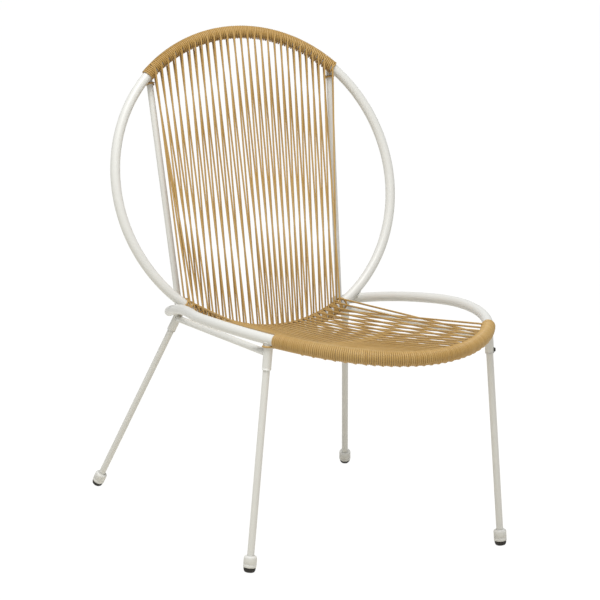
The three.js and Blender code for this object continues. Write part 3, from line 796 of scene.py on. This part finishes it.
class CHAIR_OT_legs(bpy.types.Operator):
    """Legs, their sockets, bolts, collars and rubber tips."""

    bl_idname = "chair.legs"
    bl_label = "Legs and feet"

    def execute(self, context):
        sizes = context.scene.chair_frame
        for label in BOLTS:
            start, floor = leg_ends(label)
            down = unit(floor - start)
            add_socket(label, start, down, sizes)
            add_foot(label, start, floor, down, sizes)
            add_bolt(label, start, down, sizes)
        return {"FINISHED"}


class CHAIR_OT_stretchers(bpy.types.Operator):
    """Two rods between the front and rear sockets."""

    bl_idname = "chair.stretchers"
    bl_label = "Side stretchers"

    def execute(self, context):
        sizes = context.scene.chair_frame
        for label in ("left", "right"):
            front, rear, along = stretcher_ends(label)
            outline = round_outline(along, sizes.rod_radius)
            share = np.linspace(0, 1, STRETCHER_ROWS)[:, None, None]
            near = meet(front[0], along, outline, front, sizes.socket_radius)
            far = meet(rear[0], -along, outline, rear, sizes.socket_radius)
            add_solid(f"stretcher_rod_{label}", "white_powder_coat", f"side_stretcher_{label}",
                      near * (1 - share) + far * share)
        return {"FINISHED"}


class CHAIR_OT_welds(bpy.types.Operator):
    """Beads of weld at the frame's joints, under the same coat."""

    bl_idname = "chair.welds"
    bl_label = "Welds"

    def execute(self, context):
        sizes = context.scene.chair_frame
        bead, tube, rod = sizes.bead_radius, sizes.tube_radius, sizes.rod_radius
        hoop = hoop_points(np.linspace(-np.pi, np.pi, HOOP_SEARCH_ROWS))
        ring = ring_path()
        surfaces = Surfaces()
        for side, label in ((-1, "left"), (1, "right")):
            foot, top, joint = upright_ends(side)
            upright = (foot, unit(top - foot))
            cross_weld(surfaces, line_near(hoop, joint), upright, (tube, rod), bead)
            cross_weld(surfaces, line_near(ring, foot), upright, (tube, rod), bead)
            half = ring[ring[:, 0] * side > 0]
            gaps = np.linalg.norm(half[:, None] - hoop[None], axis=2)
            there, here = np.unravel_index(np.argmin(gaps), gaps.shape)
            cross_weld(surfaces, line_near(ring, half[there]), line_near(hoop, hoop[here]),
                       (tube, tube), bead)
            for end in ("front", "rear"):
                start, floor = leg_ends(f"{end}_{label}")
                butt_weld(surfaces, (start, unit(floor - start)), line_near(ring, start), tube,
                          sizes.socket_radius, bead)
            front, rear, along = stretcher_ends(label)
            for end, inwards in ((front, along), (rear, -along)):
                butt_weld(surfaces, (end[0], inwards), end, sizes.socket_radius, rod,
                          bead * STRETCHER_BEAD)
        surfaces.build("frame_welds", "white_powder_coat")
        return {"FINISHED"}


# Cord


class Bar:
    """A tube that cord goes round: its centreline against arc length, a first direction square
    to it and a second one away from the middle of its curve. Angles round it are counted from
    the first towards the second. Cord lies at its radius, and one turn takes up its lead."""

    def __init__(self, centre, direction, middle):
        along = tangents(centre)
        self.centre, self.arc = centre, arc_lengths(centre)
        self.first = square_to(np.broadcast_to(direction, centre.shape), along)
        second = np.cross(self.first, along)
        self.second = second * np.sign(np.sum(second * (centre - middle), axis=1))[:, None]
        scene = bpy.context.scene
        self.radius = scene.chair_frame.tube_radius + scene.chair_cord.cord_radius
        self.lead = 2 * scene.chair_cord.cord_radius

    def arc_at(self, x):
        """Arc length at which the centreline reaches x, which grows along the bar."""
        return np.interp(x, self.centre[:, 0], self.arc)

    def points(self, arc, angle, rise=0.0):
        """Points at arc lengths and angles, so far above where cord lies."""
        def at(values):
            return np.stack([np.interp(arc, self.arc, column) for column in values.T], axis=-1)
        first, second = unit(at(self.first)), unit(at(self.second))
        angle, radius = np.asarray(angle)[..., None], np.asarray(self.radius + rise)[..., None]
        return at(self.centre) + radius * (np.cos(angle) * first + np.sin(angle) * second)


def hoop_bar(bottom):
    """The hoop's top or bottom half as a bar, left to right."""
    angle = np.linspace(-np.pi / 2, np.pi / 2, BAR_ROWS)
    centre = hoop_points(np.pi - angle if bottom else angle)
    return Bar(centre, HOOP_FORWARD, (0, HOOP_CENTRE_Y, HOOP_CENTRE_Z))


def nose_bar():
    """The ring's front half as a bar, left to right."""
    centre = nose_points(np.linspace(-np.pi / 2, np.pi / 2, BAR_ROWS))
    return Bar(centre, (0, 0, 1), (0, RING_WIDEST_Y, 0))


def turn_angles(angles):
    """Angles from one to another, in about STEPS steps a turn."""
    return np.linspace(*angles, max(int(abs(angles[1] - angles[0]) / (2 * np.pi) * STEPS), 2) + 1)


def coil(bar, place, angles, lean, passes=0):
    """Turns on a bar from one angle a to another. With t = (pi - a) / 2 pi turns, the arc length is
    place + lead t + lean (1 + cos a), so that turns of one lead and one lean lie side by side;
    place is where they cross the bar's rear. Where n passes are given, the n - 1 that go round
    the inner side spread out over the space of n, by lead ((t - 1/4) n / (n - 1) - t - 1/4)."""
    angle = turn_angles(angles)
    turn = (np.pi - angle) / (2 * np.pi)
    arc = place + bar.lead * turn + lean * (1 + np.cos(angle))
    if passes > 1:
        spread = (turn - 0.25) * passes / (passes - 1) - turn - 0.25
        arc = arc + bar.lead * spread * np.maximum(-np.sin(angle), 0)
    return bar.points(arc, angle)


def nose_coil(bar, first, angles, rise=0.0):
    """Turns on the nose, counted from its left end: the count is first - (pi - a) / 2 pi at an
    angle a, and the arc length is the count times the lead. Under the nose, where a strand
    arrives over its neighbours, the cord rises from the tube."""
    angle = turn_angles(angles)
    rise = rise * np.clip(1 - np.abs(angle - np.pi) / NOSE_RISE_ANGLE, 0, 1)
    return bar.points((first - (np.pi - angle) / (2 * np.pi)) * bar.lead, angle, rise)


def soften(path):
    """Each sharp corner of a path is swapped for three points of a small quadratic arc, which
    starts and ends up to CORNER_REACH away from the corner."""
    corner = path[1:-1]
    legs, sides = [path[:-2] - corner, path[2:] - corner], []
    for leg in legs:
        length = np.linalg.norm(leg, axis=1, keepdims=True)
        sides.append(leg / length * np.minimum(CORNER_REACH, length * CORNER_SHARE))
    start, end = corner + sides[0], corner + sides[1]
    trio = np.stack([start, (start + end + 2 * corner) / 4, end], axis=1)
    sharp = np.sum(unit(-legs[0]) * unit(legs[1]), axis=1) < math.cos(CORNER_ANGLE)
    trio = np.where(sharp[:, None, None], trio, corner[:, None])
    kept = np.stack([np.ones_like(sharp), sharp, sharp], axis=1)
    return np.vstack([path[:1], trio[kept], path[-1:]])


def add_cords(name, nodes, *runs):
    """One piece made of runs of cord, each a path and the metres at which its UV starts. The UV
    is in metres along and in turns round."""
    sizes = bpy.context.scene.chair_cord
    surfaces = Surfaces()
    for path, uv_start in runs:
        grid = tube_grid(path, sizes.cord_radius, sizes.cord_sides, (1, 0, 0))
        round_it = np.linspace(0, 1, sizes.cord_sides, endpoint=False)
        uv = np.meshgrid(arc_lengths(path) + uv_start, round_it, indexing="ij")
        surfaces.add(grid, caps=True, uv=np.stack(uv, axis=-1))
    surfaces.build(name, "tan_cord", nodes)


def strand(start, end, rng):
    """A taut strand between two points, without them: a straight line with the faint bow that
    handling leaves."""
    share = np.linspace(0, 1, STRAND_POINTS)[1:-1, None]
    bow = rng.normal(0, STRAND_BOW, 3) * np.array([1, 0.5, 0.5])
    return start + (end - start) * share + np.sin(np.pi * share) * bow


def back_places(bottom):
    """The back winding's places on one bar: arc places of the falling strands, with equal turns
    of cord between them, those of the rising strands beside them, the turns in each space, and
    how far half a turn leans from each falling strand at the rear to the next rising one."""
    bar = hoop_bar(bottom)
    ends, runs, steps, first = BACK_BOTTOM if bottom else BACK_TOP
    rng = np.random.default_rng(PLACES_SEED + bottom)
    passes = np.concatenate([np.full(times, turns) for turns, times in runs])
    low, high = bar.arc_at(np.array(ends))
    bar.lead = (high - low) / passes.sum()
    falling = low + bar.lead * np.concatenate([[0], np.cumsum(passes)])
    x = np.interp(falling, bar.arc, bar.centre[:, 0])
    offset = np.interp(np.arange(len(x) - 1), *np.transpose(steps))
    rising = bar.arc_at(np.concatenate([x[:1] + first, x[:-1] + offset]))
    rising = rising + rng.normal(0, STRAND_SLIP, len(falling))
    return bar, falling, rising, passes, (rising[1:] - falling[:-1] - bar.lead / 2) / 2


def back_winding():
    """One cord strung between the hoop's bottom and top, left to right. Each turn goes up from
    the bottom's front to behind the top, round the top as often as its space asks for, down from
    the top's front to behind the bottom, and half round it. Short ends of cord fill up the top
    beside the outermost strands."""
    rng = np.random.default_rng(BACK_SEED)
    top, falling, rising, passes, _ = back_places(False)
    bottom, low_falling, low_rising, _, lean = back_places(True)
    start = low_rising[0] - 2 * lean[0] - bottom.lead / 2
    path = [coil(bottom, start, (BACK_START, 0), lean[0])]
    lean = np.concatenate([lean, lean[-1:]])
    passes = np.concatenate([[1], passes])
    for turn, full in enumerate(passes - 0.5):
        top_lean = (falling[turn] - rising[turn] - top.lead * full) / 2
        over = coil(top, rising[turn], (np.pi, np.pi - 2 * np.pi * full), top_lean, passes[turn])
        end = 0 if turn < len(passes) - 1 else BACK_END
        under = coil(bottom, low_falling[turn], (np.pi, end), lean[turn])
        path += [strand(path[-1][-1], over[0], rng), over, strand(over[-1], under[0], rng), under]
    left = coil(top, falling[0] - TOP_LEFT_PLACE * top.lead - 2 * TOP_LEFT_LEAN,
                (2 * np.pi * TOP_LEFT_TURNS, TOP_LEFT_END), TOP_LEFT_LEAN)
    right = coil(top, falling[-1] + top.lead * TOP_RIGHT_PLACE,
                 (np.pi, np.pi - 2 * np.pi * TOP_RIGHT_TURNS), -top.lead / 2)
    return np.vstack(path), left, right


def seat_winding():
    """One cord strung between the hoop's bottom and the seat's nose, right to left. Each turn
    comes forward over the bottom bar to under the nose, round the nose until the next strand's
    place, back to under the bottom bar and round it between two back strands. With it come the
    turns at the bottom bar's left end and the nose's short end wraps."""
    scene = bpy.context.scene
    rng = np.random.default_rng(SEAT_SEED)
    bottom, falling, _, passes, lean = back_places(True)
    lean = np.concatenate([lean[:1], lean, lean[-1:]])
    rear = np.concatenate([falling[:1] - SEAT_LEFT_PLACE * bottom.lead, falling])
    fill = np.concatenate([[SEAT_LEFT_TURNS], passes - 1, [1]])
    fill[-len(SEAT_RIGHT_TURNS):] = SEAT_RIGHT_TURNS

    nose = nose_bar()
    places = nose.arc_at(np.linspace(*SEAT_FRONT_X, len(falling))) / nose.lead
    places = np.round(places) + rng.normal(0, NOSE_SLIP, len(places))
    wall = scene.chair_frame.socket_radius + scene.chair_cord.cord_radius
    left_end, right_end = (
        (nose.arc_at(leg_ends(f"front_{side}")[0][0]) + inwards * (wall + margin)) / nose.lead
        for side, inwards, margin in NOSE_ENDS)

    starts = np.concatenate([places[:1] + SEAT_FIRST_TURNS, places]) - 0.5
    path = [coil(bottom, rear[-1] + bottom.lead, (SEAT_START, SEAT_OVER), lean[-1])]
    for turn, place in enumerate(places):
        full = round(starts[turn] + 0.5 - place)
        over = nose_coil(nose, starts[turn], (np.pi, 2 * np.pi * (1 - full) - NOSE_LEAVE),
                         NOSE_RISE)
        there = len(falling) - 1 - turn
        count = fill[there]
        under = coil(bottom, rear[there] + bottom.lead * count,
                     (SEAT_UNDER, SEAT_OVER + 2 * np.pi * (count - 1)), lean[there])
        path += [strand(path[-1][-1], over[0], rng), over, strand(over[-1], under[0], rng), under]
    edge = coil(bottom, rear[0] - bottom.lead, (2 * np.pi * BOTTOM_LEFT_TURNS, 0), lean[0])
    right = nose_coil(nose, starts[0] + 1, (0, 2 * np.pi * (right_end - starts[0] - 0.5)))
    left = nose_coil(nose, starts[-1], (np.pi, np.pi - 2 * np.pi * (starts[-1] - left_end)))
    return np.vstack(path), edge, right, left


class CHAIR_OT_windings(bpy.types.Operator):
    """Back strands and seat strands, each with the wraps that are wound from its cord."""

    bl_idname = "chair.windings"
    bl_label = "Back and seat cord"

    def execute(self, context):
        path, *ends = back_winding()
        add_cords("back_winding", ["back_cord", "top_arc_wrap"], (soften(path), 0.0),
                  *zip(ends, BACK_UV_STARTS))
        path, edge, *ends = seat_winding()
        add_cords("seat_winding", ["seat_cord", "bottom_arc_wrap"], (soften(path), 0.0),
                  (edge, SEAT_UV_START))
        add_cords("nose_end_wraps", ["front_arc_wrap"], *zip(ends, NOSE_UV_STARTS))
        return {"FINISHED"}


def tie_places(sizes):
    """Each tie's name, its middle, the direction up its rod and the rod's radius."""
    for name, side, drop in UPPER_TIES:
        foot, top, _ = upright_ends(side)
        up = unit(top - foot)
        yield name, top - up * drop, up, sizes.rod_radius
    start, floor = leg_ends("front_left")
    up = unit(start - floor)
    yield "front_left", start - up * FRONT_TIE_DROP, up, sizes.socket_radius


class CHAIR_OT_ties(bpy.types.Operator):
    """Ties of cord round the uprights and the front left socket."""

    bl_idname = "chair.ties"
    bl_label = "Cord ties"

    def execute(self, context):
        cord = context.scene.chair_cord
        angle = np.linspace(0, 2 * np.pi * TIE_TURNS, TIE_POINTS)[:, None]
        rise = (angle / (2 * np.pi) - TIE_MIDDLE) * 2 * cord.cord_radius
        for name, centre, up, inner in tie_places(context.scene.chair_frame):
            first, second = round_outline(up, inner + cord.cord_radius, 4)[:2]
            path = centre + np.cos(angle) * first + np.sin(angle) * second + rise * up
            add_solid(f"tie_{name}", "tan_cord", f"cord_tie_{name}",
                      tube_grid(path, cord.cord_radius, cord.cord_sides, up))
        return {"FINISHED"}


# Stage


def seen_by(tree, *kinds):
    """1 for rays of any of the given kinds, 0 for the rest."""
    rays = node(tree, "ShaderNodeLightPath").outputs
    seen = rays[kinds[0]]
    for kind in kinds[1:]:
        links = {0: seen, 1: rays[kind]}
        seen = node(tree, "ShaderNodeMath", {"operation": "MAXIMUM"}, links).outputs[0]
    return seen


def add_floor():
    """A wide pale sheet whose colour fades to white for the camera and keeps a soft shadow."""
    mesh = bpy.data.meshes.new("floor")
    corners = [(-1, -1, 0), (1, -1, 0), (1, 1, 0), (-1, 1, 0)]
    mesh.from_pydata(np.multiply(corners, FLOOR_HALF_SIZE).tolist(), [], [(0, 1, 2, 3)])
    floor = add_object("floor", mesh)
    material, tree = new_material("pale_floor")
    feed(tree, {"Base Color": toned(bpy.context.scene.chair_colours.floor), "Roughness": 1.0,
                "Specular IOR Level": 0.0})
    glow = node(tree, "ShaderNodeEmission", {"Color": (1, 1, 1, 1), "Strength": FLOOR_GLOW})
    seen = seen_by(tree, "Is Camera Ray", "Is Glossy Ray", "Is Transmission Ray")
    share = node(tree, "ShaderNodeMath", {"operation": "MULTIPLY", 1: FLOOR_GLOW_SHARE}, {0: seen})
    shader = tree.nodes["Principled BSDF"]
    mix = node(tree, "ShaderNodeMixShader", {},
               {0: share.outputs[0], 1: shader.outputs[0], 2: glow.outputs[0]})
    tree.links.new(mix.outputs[0], tree.nodes["Material Output"].inputs["Surface"])
    mesh.materials.append(material)


def add_world():
    """White behind the chair, and a soft grey fill on it."""
    world = bpy.data.worlds.new("studio")
    bpy.context.scene.world = world
    world.use_nodes = True
    tree = world.node_tree
    fill = tree.nodes["Background"]
    white = node(tree, "ShaderNodeBackground")
    for made, strength in ((fill, FILL_STRENGTH), (white, 1.0)):
        made.inputs["Color"].default_value = (1, 1, 1, 1)
        made.inputs["Strength"].default_value = strength
    seen = seen_by(tree, "Is Camera Ray", "Is Transmission Ray")
    mix = node(tree, "ShaderNodeMixShader", {},
               {0: seen, 1: fill.outputs[0], 2: white.outputs[0]})
    tree.links.new(mix.outputs[0], tree.nodes["World Output"].inputs["Surface"])


def add_lamps():
    """A wide soft key above and to the left, and a weak one from the front."""
    for name, place, size, power in LAMPS:
        data = bpy.data.lights.new(name, "AREA")
        data.shape = "DISK"
        data.size = size
        data.energy = power
        lamp = add_object(name, data)
        lamp.location = place
        aim = Vector(LAMP_TARGET) - lamp.location
        lamp.rotation_euler = aim.to_track_quat("-Z", "Y").to_euler()


class CHAIR_OT_stage(bpy.types.Operator):
    """Floor, lamps, world and the camera at the photograph's angle."""

    bl_idname = "chair.stage"
    bl_label = "Stage"

    azimuth: angle_of("Azimuth", "Camera's angle round the chair", -23.15)
    elevation: angle_of("Elevation", "Camera's angle above the floor", 8.57)
    distance: metres("Distance", "Camera's distance from its target", 4.5)
    lens: FloatProperty(name="Lens", description="Focal length in millimetres", default=149.74)

    def execute(self, context):
        add_floor()
        add_world()
        add_lamps()
        self.add_camera(context)
        context.scene.view_settings.view_transform = "Standard"
        return {"FINISHED"}

    def add_camera(self, context):
        """The photograph's view: a long lens that looks slightly down at the chair's middle."""
        data = bpy.data.cameras.new("photo_view")
        data.lens = self.lens
        data.clip_start, data.clip_end = CLIPPING
        camera = add_object("photo_view", data)
        level = math.cos(self.elevation)
        back = Vector((math.sin(self.azimuth) * level, -math.cos(self.azimuth) * level,
                       math.sin(self.elevation)))
        camera.location = Vector((0, LAYOUT_Y, VIEW_TARGET_Z)) + back * self.distance
        camera.rotation_euler = (-back).to_track_quat("-Z", "Y").to_euler()
        context.scene.camera = camera


OPERATORS = (
    CHAIR_OT_tubes,
    CHAIR_OT_uprights,
    CHAIR_OT_legs,
    CHAIR_OT_stretchers,
    CHAIR_OT_welds,
    CHAIR_OT_windings,
    CHAIR_OT_ties,
    CHAIR_OT_stage,
)


class CHAIR_PT_panel(bpy.types.Panel):
    """Lists the chair's pieces and its sizes and colours."""

    bl_idname = "CHAIR_PT_panel"
    bl_label = "Chair"
    bl_space_type = "VIEW_3D"
    bl_region_type = "UI"
    bl_category = "Chair"

    def draw(self, context):
        for name in GROUPS:
            group = getattr(context.scene, name)
            for size in group.__annotations__:
                self.layout.prop(group, size)
        for operator in OPERATORS:
            self.layout.operator(operator.bl_idname)


GROUPS = {
    "chair_frame": ChairFrameSizes,
    "chair_cord": ChairCordSizes,
    "chair_colours": ChairColours,
}
CLASSES = (*GROUPS.values(), *OPERATORS, CHAIR_PT_panel)


def register():
    for made in CLASSES:
        bpy.utils.register_class(made)
    for name, group in GROUPS.items():
        setattr(bpy.types.Scene, name, PointerProperty(type=group))


def unregister():
    for name in GROUPS:
        delattr(bpy.types.Scene, name)
    for made in reversed(CLASSES):
        bpy.utils.unregister_class(made)


def main():
    """Builds every piece."""
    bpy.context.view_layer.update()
    register()
    for operator in OPERATORS:
        group, name = operator.bl_idname.split(".")
        getattr(getattr(bpy.ops, group), name)()


if __name__ == "__main__":
    main()
